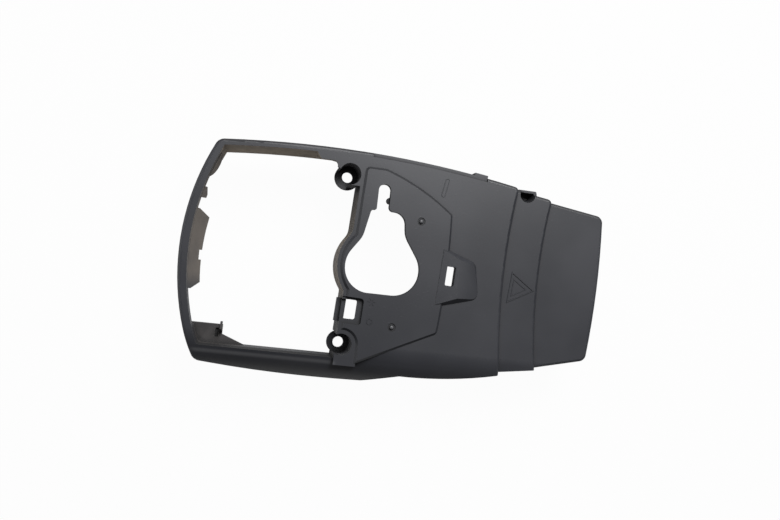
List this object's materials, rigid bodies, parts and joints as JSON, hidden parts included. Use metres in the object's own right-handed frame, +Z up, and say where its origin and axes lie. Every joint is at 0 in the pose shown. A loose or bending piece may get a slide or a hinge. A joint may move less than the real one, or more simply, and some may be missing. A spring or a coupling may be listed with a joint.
{
  "type": "moulded engine shroud",
  "caption": "Injection moulded plastic shroud of a hand-held engine tool: a hoop around a large opening, a crowned deck stepped towards one end, a pear-shaped plug hole and screw bosses.",
  "frame": {"origin": "middle of the shell's outer size, in the plane of its lower edge", "axes": "+X along the shell towards the stepped end, +Y towards the long side with the upper screw boss, +Z up, out of the deck"},
  "size_m": [0.2632, 0.1412, 0.0494],
  "materials": {
    "plastic": "fine moulded texture, matte"
  },
  "bodies": {
    "root": {"housing": "plastic"}
  },
  "joints": []
}
